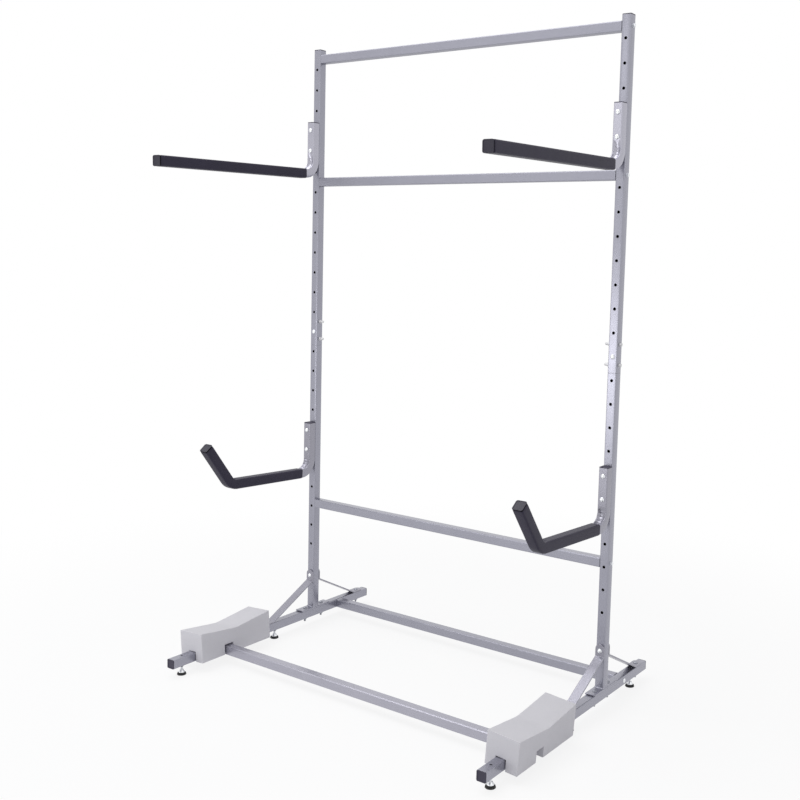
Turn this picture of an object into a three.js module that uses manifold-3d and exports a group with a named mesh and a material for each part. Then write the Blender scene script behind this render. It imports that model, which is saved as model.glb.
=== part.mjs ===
// Freestanding kayak stand: two square-tube posts on long feet, tied by five crossbars.
// Four sleeved steel arms carry boats off the ground and two foam blocks cradle one at the base.
// Millimetres, +Z up, boats load from -Y. The origin is on the floor, midway between the ends.
import * as THREE from 'three';
import { mergeVertices } from 'three/addons/utils/BufferGeometryUtils.js';
import Module from 'manifold-3d';

const wasm = await Module();
wasm.setup();

// Driving dimensions of the steel frame
const tubeSide = 31.75;
const tubeWall = 2;
const tubeCorner = 3;
const seatGap = 0.3; // clearance where two pieces seat on each other
const postSpacing = 1283; // centre to centre
const postTop = 2230; // floor to the top of the post caps
const topHoleDrop = 74.7; // post top to the first adjustment hole
const holePitch = 76.2;
const holeBore = 9;
const lowestHole = 300; // no adjustment hole below this height
const topBarDrop = 36; // post top to the middle of the top crossbar
const upperBarHeight = 1737;
const lowerBarHeight = 490.5;
const barPlate = 3; // threaded plate welded into each crossbar end
const boltSize = 7.9; // bolts of the frame
const boltClearance = 1.1;

// Splice of the two post lengths, placed from the adjustment hole that its front bolt uses
const splice_hole_share = 0.54; // place in the row of holes, counted from the top
const splice_joint_share = 0.685; // of a pitch, below that hole
const splice_upper_bolt_share = 0.52; // of a pitch, above that hole
const splice_lower_bolt_share = 0.355; // of a pitch, below that hole
const spigotWall = 2;
const spigotAbove = 20; // above the upper side bolt
const spigotBelow = 60; // below the joint
const weldBite = 0.2; // how far welded pieces reach into each other

// Feet, measured from the post's middle along Y
const footHeight = 34.7; // floor to the underside of the foot tube
const saddleReach = 78; // half length of the plate under the post
const saddleThick = 3.4;
const saddleWidth = 36;
const saddleLip = 1.8; // height of the lips that carry the plate
const saddleLipWidth = 6;
const saddleBoltReach = 46;
const rearBarBehindSaddle = 61.2;
const rearFootMargin = 27.7; // foot tube behind the rear brace
const frontFootMargin = 97.2; // foot tube ahead of the foam block
const frontLevelerInset = 49.3;
const rearLevelerInset = 93.5;
const middleLevelerInset = 18.9; // behind the front brace's lower bend

// Braces, flat bar between post and foot
const braceThick = 4.8;
const braceBoltHeight = 198.6;
const braceTabRise = 22.4; // above the bolt
const braceTabDrop = 21.6; // below the bolt, down to the bend
const braceFootBend = 232; // from the post's middle
const braceFootTab = 54;
const braceFootBoltInset = 26;

// Arms, measured from the top bolt and from the post's middle
const upper_arm_hole_share = 0.125; // place in the row of holes, counted from the top
const lower_arm_hole_share = 0.75;
const upperArmAboveBolt = 31.3;
const lowerArmAboveBolt = 29;
const upperArmDrop = 161.5; // top bolt to the middle of the run
const lowerArmDrop = 166.8;
const armBend = 50; // radius of the bend at the post, to the tube's middle
const armCrimp = 7; // depth of the dent that the bender leaves inside the bend
const upperArmReach = 767;
const upperArmRise = -1.15; // degrees
const lowerArmReach = 444; // to the corner of the hook
const lowerArmRise = 2.46; // degrees
const hookAngle = 52.7; // degrees above level
const hookLength = 185;
const hookBend = 50;
const sleeveWall = 1.7;
const sleeveStart = 2; // past the end of the bend
const boltHead = 15;
const boltDome = 4.4;
const boltNut = 12.7; // across flats
const boltNutThick = 6.8;
const armBoltTail = 4; // past the nut

// End caps, pushed into the tubes
const capThick = 2.8;
const capPlug = 14; // depth of the ribs inside the tube
const capCorner = 4;

// Leveling feet
const studSize = 8;
const studTop = 23; // above the underside of the foot tube
const padAcross = 32;
const padEdge = 8.5; // height of the rubber base
const padCup = 9; // height of the steel cup above it
const padCupAcross = 23;
const padNeck = 12.5;
const padSocket = 9; // floor to the bottom of the ball's socket
const studBall = 9.4;
const levelerBoss = 15; // threaded boss on the underside of the foot tube
const levelerBossTip = 10.5;
const levelerBossThick = 5;

// Foam cradle blocks
const blockLength = 324.5;
const blockWidth = 109;
const blockTop = 134;
const blockBottom = 32;
const blockDip = 18.5;
const blockDipRound = 14; // half length of the rounded middle of the dip
const blockOutset = 2.8; // outward of the foot tube's middle
const blockLean = 4.3; // degrees outward, as the block tips on the tube within its slot
const blockBraceGap = 3;
const blockSlotGap = 0.8; // beside the foot tube
const blockCrossGap = 4.4;
const frontBarAhead = 38.6; // front crossbar ahead of the block's middle

const overrun = 5; // how far a cutter passes its piece
const holeFacets = 8;
const roundFacets = 16;
const cornerFacets = 2;
const bendSteps = 7;
const hookSteps = 4;
const crimp_row_shares = [0.5, 0, -0.5]; // across the inner face of the bend
const dome_shares = [[0.9, 0.4], [0.62, 0.8]]; // radius and height of a bolt head's dome

// Sizes that follow
const half = tubeSide / 2;
const bore = tubeSide - 2 * tubeWall;
const holeFit = boltSize + boltClearance;
const topHoleHeight = postTop - topHoleDrop;
const holeCount = Math.floor((topHoleHeight - lowestHole) / holePitch) + 1;
const holeHeight = (index) => topHoleHeight - index * holePitch;
const holeAt = (share) => Math.round(share * (holeCount - 1));
const spliceHoleHeight = holeHeight(holeAt(splice_hole_share));
const spliceHeight = spliceHoleHeight - splice_joint_share * holePitch;
const spliceBoltHeights = [
  spliceHoleHeight + splice_upper_bolt_share * holePitch,
  spliceHoleHeight - splice_lower_bolt_share * holePitch,
];
const footTop = footHeight + tubeSide;
const saddleTop = footTop + seatGap + saddleLip + saddleThick;
const braceFootEnd = braceFootBend + braceFootTab;
const braceFootBolt = braceFootEnd - braceFootBoltInset;
const blockRear = braceFootEnd + blockBraceGap;
const blockMiddle = blockRear + blockLength / 2;
const blockFront = blockRear + blockLength;
const footRear = braceFootEnd + rearFootMargin;
const footFront = blockFront + frontFootMargin;
const rearBarPlace = saddleReach + rearBarBehindSaddle;
const frontBarPlace = -(blockMiddle + frontBarAhead);
const topBarHeight = postTop - topBarDrop;
const levelerPlaces = {
  front: -(footFront - frontLevelerInset),
  middle: -(braceFootBend - middleLevelerInset),
  rear: footRear - rearLevelerInset,
};
const armPitch = holePitch; // the two bolts of an arm take neighbouring holes
const legMiddle = -(tubeSide + seatGap);
const sleeveBore = tubeSide + 2 * seatGap;
const sleeveSide = sleeveBore + 2 * sleeveWall;
const sleeveCorner = tubeCorner + seatGap + sleeveWall;

// Materials
const finish = (color, roughness, metalness) => () =>
  new THREE.MeshStandardMaterial({ color, roughness, metalness });
const powderCoat = finish('#a3a4ae', 0.45, 0.6);
const blackPlastic = finish('#37363d', 0.5, 0);
const blackFoam = finish('#2f2d33', 0.85, 0);
const greyFoam = finish('#c6c6cb', 0.9, 0);
const zincSteel = finish('#d5d7da', 0.3, 0.9);
const blackRubber = finish('#1d1d20', 0.8, 0);

// A geometry becomes a closed solid once its shared vertices are merged
function solid(geometry) {
  const bare = geometry.clone();
  bare.deleteAttribute('normal');
  bare.deleteAttribute('uv');
  const merged = mergeVertices(bare);
  const corners = merged.index.array;
  const triangles = [];
  for (let i = 0; i < corners.length; i += 3) {
    const [a, b, c] = corners.slice(i, i + 3);
    if (a !== b && b !== c && c !== a) triangles.push(a, b, c);
  }
  return new wasm.Manifold(new wasm.Mesh({
    numProp: 3,
    vertProperties: new Float32Array(merged.attributes.position.array),
    triVerts: new Uint32Array(triangles),
  }));
}

function geometryOf(body) {
  const mesh = body.getMesh();
  const geometry = new THREE.BufferGeometry();
  geometry.setAttribute('position', new THREE.BufferAttribute(mesh.vertProperties, mesh.numProp));
  geometry.setIndex(new THREE.BufferAttribute(mesh.triVerts, 1));
  return geometry;
}

const join = (bodies) => bodies.reduce((sum, body) => sum.add(body));
const cut = (body, cutters) => cutters.reduce((rest, cutter) => rest.subtract(cutter), body);

const quarters = [[1, 1], [-1, 1], [-1, -1], [1, -1]];

// Square about the origin, with round corners if a radius is given
function squareOutline(side, radius = 0) {
  const reach = side / 2 - radius;
  const points = quarters.flatMap(([x, y], quarter) => {
    const steps = radius > 0 ? cornerFacets : 0;
    return Array.from({ length: steps + 1 }, (_, step) => {
      const angle = (quarter + step / cornerFacets) * Math.PI / 2;
      return new THREE.Vector2(
        x * reach + radius * Math.cos(angle), y * reach + radius * Math.sin(angle),
      );
    });
  });
  return points;
}

// Prism of an outline along +Z, +Y or +X; its outline's x runs along X, X or Y
function prism(outline, depth, axis = 'z', curveSegments = holeFacets) {
  const geometry = new THREE.ExtrudeGeometry(outline, { depth, curveSegments, bevelEnabled: false });
  if (axis === 'y') geometry.rotateX(-Math.PI / 2);
  if (axis === 'x') geometry.rotateX(Math.PI / 2).rotateZ(Math.PI / 2);
  return geometry;
}

// Square tube from start to end along an axis
function squareTube(start, end, axis) {
  const outline = new THREE.Shape(squareOutline(tubeSide, tubeCorner));
  outline.holes.push(new THREE.Path(squareOutline(bore)));
  return solid(shift(prism(outline, end - start, axis), start, axis));
}

function squareBar(side, radius, start, end, axis = 'z') {
  const outline = new THREE.Shape(squareOutline(side, radius));
  return solid(shift(prism(outline, end - start, axis), start, axis));
}

function shift(geometry, distance, axis) {
  const step = { x: 0, y: 0, z: 0 };
  step[axis] = distance;
  return geometry.translate(step.x, step.y, step.z);
}

function block(low, high) {
  const size = high.map((value, i) => value - low[i]);
  const geometry = new THREE.BoxGeometry(...size);
  return solid(geometry.translate(...low.map((value, i) => value + size[i] / 2)));
}

// Round cutter or pin about a point, centred on it
function rod(diameter, length, axis, [x, y, z], facets = holeFacets) {
  const geometry = new THREE.CylinderGeometry(diameter / 2, diameter / 2, length, facets);
  if (axis === 'z') geometry.rotateX(Math.PI / 2);
  if (axis === 'x') geometry.rotateZ(Math.PI / 2);
  return solid(geometry.translate(x, y, z));
}

// Turned piece about Z from a profile of [radius, height] points that ends on the axis
function turned(profile, facets = roundFacets) {
  const points = profile.map(([radius, height]) => new THREE.Vector2(radius, height));
  return new THREE.LatheGeometry(points, facets).rotateX(Math.PI / 2);
}

const stand = new THREE.Group();

function add(parent, name, body, material) {
  const geometry = body.isBufferGeometry ? body : geometryOf(body);
  const mesh = new THREE.Mesh(geometry, material());
  mesh.name = name;
  parent.add(mesh);
  return mesh;
}

// Adjustment holes run through the front and back walls of a post
function adjustmentHoles(low, high) {
  const cutters = [];
  for (let i = 0; i < holeCount; i += 1) {
    const z = holeHeight(i);
    if (z > low && z < high) {
      cutters.push(rod(holeBore, tubeSide + overrun, 'y', [0, 0, z]));
    }
  }
  return cutters;
}

const sideHole = (z) => rod(holeFit, tubeSide + overrun, 'x', [0, 0, z]);

// Lower post: tube, welded base plate and the spigot that carries the upper post
function lowerPost() {
  const tube = squareTube(saddleTop - weldBite, spliceHeight, 'z');
  const spigotSide = bore - 2 * seatGap;
  const spigotTop = spliceBoltHeights[0] + spigotAbove;
  const spigotBottom = spliceHeight - spigotBelow;
  const spigot = join([
    squareBar(bore + weldBite, 0, spigotBottom, spliceHeight),
    squareBar(spigotSide, 0, spliceHeight, spigotTop),
  ]);
  const spigotHollow = squareBar(
    spigotSide - 2 * spigotWall, 0, spigotBottom - overrun, spigotTop + overrun,
  );
  const wide = saddleWidth / 2;
  const hollow = wide - saddleLipWidth;
  const plate = block([-wide, -saddleReach, footTop + seatGap], [wide, saddleReach, saddleTop]);
  const recess = block(
    [-hollow, -saddleReach - overrun, footTop],
    [hollow, saddleReach + overrun, footTop + seatGap + saddleLip],
  );
  const saddle = cut(plate, [
    recess,
    ...[-1, 1].map((end) => rod(holeFit, 2 * tubeSide, 'z', [0, end * saddleBoltReach, saddleTop])),
  ]);
  return cut(join([tube, cut(spigot, [spigotHollow]), saddle]), [
    ...adjustmentHoles(0, spigotTop),
    ...spliceBoltHeights.map(sideHole),
    sideHole(lowerBarHeight),
    rod(holeFit, tubeSide + overrun, 'y', [0, 0, braceBoltHeight]),
  ]);
}

function upperPost() {
  const tube = squareTube(spliceHeight + seatGap, postTop - capThick - seatGap, 'z');
  return cut(tube, [
    ...adjustmentHoles(spliceHeight, postTop),
    ...spliceBoltHeights.map(sideHole),
    sideHole(upperBarHeight),
    sideHole(topBarHeight),
  ]);
}

// Crossbar along X, with a drilled plate closing each end
function crossbar() {
  const reach = postSpacing / 2 - half - seatGap;
  const tube = squareTube(-reach, reach, 'x');
  const plates = [-1, 1].map((end) => {
    const inner = end * (reach - barPlate);
    const outer = end * reach;
    return squareBar(bore + weldBite, 0, Math.min(inner, outer), Math.max(inner, outer), 'x');
  });
  return cut(join([tube, ...plates]), [rod(boltSize, 2 * (reach + overrun), 'x', [0, 0, 0])]);
}

// Foot tube along Y, drilled for its bolts, with a threaded boss for each leveling foot
function footTube() {
  const middle = footHeight + half;
  const capRoom = capThick + seatGap;
  const tube = squareTube(capRoom - footFront, footRear - capRoom, 'y').translate([0, 0, middle]);
  const places = Object.values(levelerPlaces);
  const boss = turned([
    [0, footHeight - levelerBossThick], [levelerBossTip / 2, footHeight - levelerBossThick],
    [levelerBoss / 2, footHeight - weldBite], [levelerBoss / 2, footHeight + weldBite],
    [0, footHeight + weldBite],
  ]);
  const bosses = places.map((y) => solid(boss).translate([0, y, 0]));
  const studHole = studSize + 2 * seatGap;
  const studReach = tubeSide + 2 * levelerBossThick + overrun;
  const downHoles = [-saddleBoltReach, saddleBoltReach, -braceFootBolt, braceFootBolt];
  const barHoles = [frontBarPlace, rearBarPlace];
  return cut(join([tube, ...bosses]), [
    ...places.map((y) => rod(studHole, studReach, 'z', [0, y, middle], roundFacets)),
    ...downHoles.map((y) => rod(holeFit, tubeSide + overrun, 'z', [0, y, middle])),
    ...barHoles.map((y) => rod(holeFit, tubeSide + overrun, 'x', [0, y, middle])),
  ]);
}

// Flat bar brace: round-topped tab on the post, slanted run, round-ended tab on the foot
function brace(end) {
  const t = braceThick;
  const post = half + seatGap;
  const ground = footTop + seatGap;
  const tabTop = braceBoltHeight + braceTabRise;
  const bend = braceBoltHeight - braceTabDrop;
  const slope = Math.atan2(bend - ground, braceFootBend - post);
  const upperMitre = t * Math.tan((Math.PI / 2 - slope) / 2);
  const lowerMitre = t * Math.tan(slope / 2);
  const profile = new THREE.Shape([
    [post, tabTop], [post, bend], [braceFootBend, ground], [braceFootEnd, ground],
    [braceFootEnd, ground + t], [braceFootBend + lowerMitre, ground + t],
    [post + t, bend + upperMitre], [post + t, tabTop],
  ].map(([y, z]) => new THREE.Vector2(y, z)));
  const bar = solid(shift(prism(profile, tubeSide, 'x'), -half, 'x'));
  const frontView = roundEnded(ground - t, tabTop);
  const topView = roundEnded(0, braceFootEnd);
  const front = solid(new THREE.ExtrudeGeometry(frontView, {
    depth: braceFootEnd + overrun, bevelEnabled: false, curveSegments: holeFacets,
  }).rotateX(Math.PI / 2).translate(0, braceFootEnd + overrun, 0));
  const top = solid(new THREE.ExtrudeGeometry(topView, {
    depth: tabTop + overrun, bevelEnabled: false, curveSegments: holeFacets,
  }));
  const holes = [
    rod(holeFit, 2 * (post + t + overrun), 'y', [0, 0, braceBoltHeight]),
    rod(holeFit, 2 * t + overrun, 'z', [0, braceFootBolt, ground]),
  ];
  const body = cut(bar.intersect(front).intersect(top), holes);
  return end > 0 ? body : body.mirror([0, 1, 0]);
}

// Strip of the tube's width from start to a half-round end
function roundEnded(start, end) {
  const outline = new THREE.Shape();
  outline.moveTo(-half, start);
  outline.lineTo(half, start);
  outline.absarc(0, end - half, half, 0, Math.PI, false);
  outline.closePath();
  return outline;
}

// Centre line in the YZ plane: straight runs between corners, with an arc at each inner corner
function bentLine(corners, bends) {
  const at = (point, direction) => ({ point, direction, turn: 0 });
  const direction = (a, b) => b.clone().sub(a).normalize();
  const line = [at(corners[0], direction(corners[0], corners[1]))];
  bends.forEach(({ radius, steps, crimped }, i) => {
    const corner = corners[i + 1];
    const before = direction(corners[i], corner);
    const after = direction(corner, corners[i + 2]);
    const angle = Math.acos(before.dot(after));
    const start = corner.clone().addScaledVector(before, -radius * Math.tan(angle / 2));
    const inward = new THREE.Vector2(before.y, -before.x);
    const centre = start.clone().addScaledVector(inward, radius);
    for (let step = 0; step <= steps; step += 1) {
      const share = step / steps;
      const heading = before.clone().rotateAround(new THREE.Vector2(), -angle * share);
      const outward = new THREE.Vector2(-heading.y, heading.x);
      line.push({
        point: centre.clone().addScaledVector(outward, radius),
        direction: heading,
        turn: crimped ? Math.sin(Math.PI * share) : 0,
      });
    }
  });
  const last = corners[corners.length - 1];
  line.push(at(last, direction(corners[corners.length - 2], last)));
  return line;
}

// Solid bar of a square section along a bent line, its inner face dented where the line turns
function bentBar(line, side, radius, crimpDepth = 0) {
  const inner = side / 2;
  const flat = inner - radius;
  const ring = squareOutline(side, radius);
  const crimped = crimpDepth > 0 ? crimp_row_shares : [];
  ring.splice(ring.length / 4, 0, ...crimped.map((share) => new THREE.Vector2(share * flat, inner)));
  const positions = line.flatMap(({ point, direction, turn }) => {
    const inward = new THREE.Vector2(direction.y, -direction.x);
    return ring.flatMap(({ x, y }) => {
      const dent = y > 0 ? crimpDepth * turn * Math.max(0, 1 - (x / flat) ** 2) : 0;
      const place = point.clone().addScaledVector(inward, y - dent);
      return [x, place.x, place.y];
    });
  });
  const count = ring.length;
  const last = (line.length - 1) * count;
  const indices = [];
  for (let start = 0; start < last; start += count) {
    for (let i = 0; i < count; i += 1) {
      const j = (i + 1) % count;
      indices.push(start + i, start + j, start + count + j);
      indices.push(start + i, start + count + j, start + count + i);
    }
  }
  for (let i = 1; i < count - 1; i += 1) {
    indices.push(0, i + 1, i, last, last + i, last + i + 1);
  }
  const geometry = new THREE.BufferGeometry();
  geometry.setAttribute('position', new THREE.Float32BufferAttribute(positions, 3));
  geometry.setIndex(indices);
  return solid(geometry);
}

// The same line, run past both of its ends
function runPast(line) {
  const first = line[0];
  const last = line[line.length - 1];
  return [
    { ...first, point: first.point.clone().addScaledVector(first.direction, -overrun) },
    ...line.slice(1, -1),
    { ...last, point: last.point.clone().addScaledVector(last.direction, overrun) },
  ];
}

const heading = (degrees) => {
  const angle = THREE.MathUtils.degToRad(degrees);
  return new THREE.Vector2(-Math.cos(angle), Math.sin(angle));
};

const legTop = (hooked) => (hooked ? lowerArmAboveBolt : upperArmAboveBolt);

// Corners of an arm's centre line as (y, z), with z from the top bolt
function armCorners(hooked) {
  const top = new THREE.Vector2(legMiddle, legTop(hooked) - capThick - seatGap);
  const elbow = new THREE.Vector2(legMiddle, -(hooked ? lowerArmDrop : upperArmDrop));
  const rise = heading(hooked ? lowerArmRise : upperArmRise);
  const run = ((hooked ? lowerArmReach : upperArmReach) + legMiddle) / -rise.x;
  const far = elbow.clone().addScaledVector(rise, run);
  if (!hooked) return [top, elbow, far];
  return [top, elbow, far, far.clone().addScaledVector(heading(hookAngle), hookLength)];
}

function trimmedEnd(corners, distance) {
  const trimmed = corners.map((corner) => corner.clone());
  const last = trimmed.length - 1;
  const back = trimmed[last - 1].clone().sub(trimmed[last]).normalize();
  trimmed[last].addScaledVector(back, distance);
  return trimmed;
}

const elbowBend = { radius: armBend, steps: bendSteps, crimped: true };
const hookTurn = { radius: hookBend, steps: hookSteps, crimped: false };

function arm(hooked) {
  const corners = trimmedEnd(armCorners(hooked), capThick + seatGap);
  const line = bentLine(corners, hooked ? [elbowBend, hookTurn] : [elbowBend]);
  return cut(bentBar(line, tubeSide, tubeCorner, armCrimp), [
    bentBar(runPast(line), bore, 0, armCrimp),
    ...[0, -armPitch].map((z) => rod(holeBore, tubeSide + overrun, 'y', [0, legMiddle, z])),
  ]);
}

// Sleeve over an arm's run, from the end of the elbow to the tip cap
function sleeve(hooked) {
  const corners = trimmedEnd(armCorners(hooked), capThick + seatGap);
  const run = corners[2].clone().sub(corners[1]).normalize();
  const turn = Math.acos(-run.y);
  const start = armBend * Math.tan(turn / 2) + sleeveStart;
  const path = [corners[1].clone().addScaledVector(run, start), ...corners.slice(2)];
  const line = bentLine(path, hooked ? [hookTurn] : []);
  return bentBar(line, sleeveSide, sleeveCorner)
    .subtract(bentBar(runPast(line), sleeveBore, tubeCorner + seatGap));
}

// Cap with its plug, built facing +Z with the flange's outer face at zero
function cap(flangeSide, corner) {
  return join([
    squareBar(flangeSide, corner, -capThick, 0),
    squareBar(bore - 2 * seatGap, 0, -capThick - capPlug, -capThick),
  ]);
}

function addTipCap(parent, name, hooked) {
  const corners = armCorners(hooked);
  const last = corners.length - 1;
  const out = corners[last].clone().sub(corners[last - 1]);
  const mesh = add(parent, name, cap(sleeveSide, sleeveCorner), blackPlastic);
  mesh.position.set(0, corners[last].x, corners[last].y);
  mesh.rotation.x = Math.atan2(out.y, out.x) - Math.PI / 2;
}

// Arm bolt: domed head on the arm, shank through arm and post, nut behind the post
function armBolt() {
  const front = 2 * tubeSide + 2 * seatGap - half;
  const back = half + seatGap;
  const nutEnd = back + boltNutThick;
  const dome = turned([
    [0, 0], [boltHead / 2, 0],
    ...dome_shares.map(([out, up]) => [out * boltHead / 2, up * boltDome]),
    [0, boltDome],
  ], holeFacets * 2).rotateX(Math.PI / 2).translate(0, -front, 0);
  const nut = new THREE.CylinderGeometry(boltNut / Math.sqrt(3), boltNut / Math.sqrt(3),
    boltNutThick, 6).translate(0, back + boltNutThick / 2, 0);
  const shankEnd = nutEnd + armBoltTail;
  return join([
    solid(dome), solid(nut),
    rod(boltSize, front + shankEnd, 'y', [0, (shankEnd - front) / 2, 0]),
  ]);
}

// Leveling pad: rubber disc under a pressed steel cup that holds the stud's ball
function levelingPad() {
  const rim = padAcross / 2;
  const cup = padCupAcross / 2;
  const neck = padNeck / 2;
  const top = padEdge + padCup;
  const socket = studBall / 2 + seatGap;
  return turned([
    [0, 0], [rim - seatGap, 0], [rim, padEdge / 2], [rim - seatGap, padEdge],
    [cup, padEdge], [neck, top], [socket, top], [socket, padSocket], [0, padSocket],
  ]);
}

// Threaded stud with the ball that turns in the pad
function levelingStud() {
  const ball = studBall / 2;
  const stud = studSize / 2;
  const low = padSocket + seatGap;
  const ballTop = padEdge + padCup + seatGap;
  return turned([
    [0, low], [ball, low], [ball, ballTop], [stud, ballTop + (ball - stud)],
    [stud, footHeight + studTop], [0, footHeight + studTop],
  ]);
}

// Foam block: saddle-topped prism, slotted for the foot tube and for the front crossbar. It tips
// outward on the tube, so its slot reaches just past the tube's corners as they lie in the slot.
function foamBlock(side) {
  const front = -blockFront;
  const rear = -blockRear;
  const middle = -blockMiddle;
  const slope = blockDip / (blockLength / 2);
  const valley = blockTop - blockDip;
  const shoulder = valley + slope * blockDipRound;
  const outline = new THREE.Shape();
  outline.moveTo(front, blockBottom);
  outline.lineTo(rear, blockBottom);
  outline.lineTo(rear, blockTop);
  outline.lineTo(middle + blockDipRound, shoulder);
  outline.quadraticCurveTo(middle, valley, middle - blockDipRound, shoulder);
  outline.lineTo(front, blockTop);
  outline.closePath();
  const body = solid(shift(prism(outline, blockWidth, 'x', hookSteps), -blockWidth / 2, 'x'));
  const tube = -side * blockOutset;
  const lean = THREE.MathUtils.degToRad(blockLean);
  const tubeReach = (half - tubeCorner) * (Math.cos(lean) + Math.sin(lean)) + tubeCorner;
  const middleHeight = footHeight + half;
  const roof = middleHeight + tubeReach + seatGap;
  const wide = tubeReach + blockSlotGap;
  const cross = half + blockCrossGap;
  const square = cut(body, [
    block([tube - wide, front - overrun, blockBottom - overrun], [tube + wide, rear + overrun, roof]),
    block(
      [-blockWidth, frontBarPlace - cross, blockBottom - overrun],
      [blockWidth, frontBarPlace + cross, roof],
    ),
  ]);
  return square.translate([-tube, 0, -middleHeight]).rotate([0, side * blockLean, 0])
    .translate([tube, 0, middleHeight]);
}

// Frame shared by both sides
const origin = new THREE.Group();
origin.position.y = (upperArmReach - footRear) / 2;
stand.add(origin);

const bars = {
  top_crossbar: [0, topBarHeight],
  upper_crossbar: [0, upperBarHeight],
  lower_crossbar: [0, lowerBarHeight],
  base_front_crossbar: [frontBarPlace, footHeight + half],
  base_rear_crossbar: [rearBarPlace, footHeight + half],
};
Object.entries(bars).forEach(([name, [y, z]]) => {
  add(origin, name, crossbar(), powderCoat).position.set(0, y, z);
});

// Each side: post, foot, braces, caps, leveling feet, foam block and two arms
Object.entries({ left: -1, right: 1 }).forEach(([name, side]) => {
  const group = new THREE.Group();
  group.position.x = side * postSpacing / 2;
  origin.add(group);
  add(group, `${name}_post_lower`, lowerPost(), powderCoat);
  add(group, `${name}_post_upper`, upperPost(), powderCoat);
  add(group, `${name}_post_cap`, cap(tubeSide, capCorner), blackPlastic).position.z = postTop;
  add(group, `${name}_foot_tube`, footTube(), powderCoat);
  add(group, `${name}_front_brace`, brace(-1), powderCoat);
  add(group, `${name}_rear_brace`, brace(1), powderCoat);
  Object.entries({ front: [-footFront, 1], rear: [footRear, -1] }).forEach(([end, [y, turn]]) => {
    const mesh = add(group, `${name}_foot_cap_${end}`, cap(tubeSide, capCorner), blackPlastic);
    mesh.position.set(0, y, footHeight + half);
    mesh.rotation.x = turn * Math.PI / 2;
  });
  Object.entries(levelerPlaces).forEach(([place, y]) => {
    add(group, `${name}_${place}_leveling_pad`, solid(levelingPad()), blackRubber).position.y = y;
    add(group, `${name}_${place}_leveling_stud`, solid(levelingStud()), zincSteel).position.y = y;
  });
  add(group, `${name}_foam_block`, foamBlock(side), greyFoam).position.x = side * blockOutset;
  Object.entries({ upper: upper_arm_hole_share, lower: lower_arm_hole_share }).forEach(([level, share]) => {
    const hooked = level === 'lower';
    const armGroup = new THREE.Group();
    armGroup.position.z = holeHeight(holeAt(share));
    group.add(armGroup);
    const label = `${name}_${level}_arm`;
    add(armGroup, label, arm(hooked), powderCoat);
    add(armGroup, `${label}_sleeve`, sleeve(hooked), blackFoam);
    addTipCap(armGroup, `${label}_tip_cap`, hooked);
    const plug = add(armGroup, `${label}_plug`, cap(tubeSide, capCorner), blackPlastic);
    plug.position.set(0, legMiddle, legTop(hooked));
    [0, 1].forEach((row) => {
      const bolt = add(armGroup, `${label}_bolt_${row + 1}`, armBolt(), zincSteel);
      bolt.position.z = -row * armPitch;
    });
  });
});

export default stand;
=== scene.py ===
import math

import bmesh
import bpy
from mathutils import Matrix, Vector, noise


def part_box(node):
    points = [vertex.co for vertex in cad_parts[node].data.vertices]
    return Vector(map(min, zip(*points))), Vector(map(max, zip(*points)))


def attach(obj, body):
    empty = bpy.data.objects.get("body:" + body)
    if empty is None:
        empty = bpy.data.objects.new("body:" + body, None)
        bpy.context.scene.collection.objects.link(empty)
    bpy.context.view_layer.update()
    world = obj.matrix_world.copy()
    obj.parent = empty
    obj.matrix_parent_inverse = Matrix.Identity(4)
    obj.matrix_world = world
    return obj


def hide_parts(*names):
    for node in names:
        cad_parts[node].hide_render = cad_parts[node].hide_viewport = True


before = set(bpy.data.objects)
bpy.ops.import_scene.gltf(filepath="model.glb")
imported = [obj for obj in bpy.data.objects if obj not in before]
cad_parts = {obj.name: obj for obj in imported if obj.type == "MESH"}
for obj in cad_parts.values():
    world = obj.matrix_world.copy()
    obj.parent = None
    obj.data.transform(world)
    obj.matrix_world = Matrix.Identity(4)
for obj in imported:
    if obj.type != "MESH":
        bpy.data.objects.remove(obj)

# Camera. It stands out in front of the right-hand foot at chest height, turned to the left and
# tipped down a little. The picture is an off-centre crop, 800 pixels square.
PICTURE_PX = 800
SENSOR_MM = 36
FOCAL_PX = 1049.47
CENTRE_PX = (468.23, 361.21)  # where the camera's axis meets the picture
EYE = Vector((2.14012, -2.79396, 1.4679))
AZIMUTH, PITCH, ROLL = (math.radians(angle) for angle in (34.36, 5.66, 1.59))
CLIP_END = 60

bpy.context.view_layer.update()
across = Vector((math.cos(AZIMUTH), math.sin(AZIMUTH), 0))
ahead = Vector((
    -math.sin(AZIMUTH) * math.cos(PITCH), math.cos(AZIMUTH) * math.cos(PITCH), -math.sin(PITCH),
))
above = across.cross(ahead)
camera_right = across * math.cos(ROLL) + above * math.sin(ROLL)
camera_up = above * math.cos(ROLL) - across * math.sin(ROLL)
camera = bpy.data.objects.new("camera", bpy.data.cameras.new("camera"))
bpy.context.scene.collection.objects.link(camera)
camera.matrix_world = (
    Matrix.Translation(EYE)
    @ Matrix((camera_right, camera_up, -ahead)).transposed().to_4x4()
)
camera.data.sensor_width = SENSOR_MM
camera.data.lens = FOCAL_PX * SENSOR_MM / PICTURE_PX
camera.data.shift_x = (PICTURE_PX / 2 - CENTRE_PX[0]) / PICTURE_PX
camera.data.shift_y = (CENTRE_PX[1] - PICTURE_PX / 2) / PICTURE_PX
camera.data.clip_end = CLIP_END
bpy.context.scene.camera = camera


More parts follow.
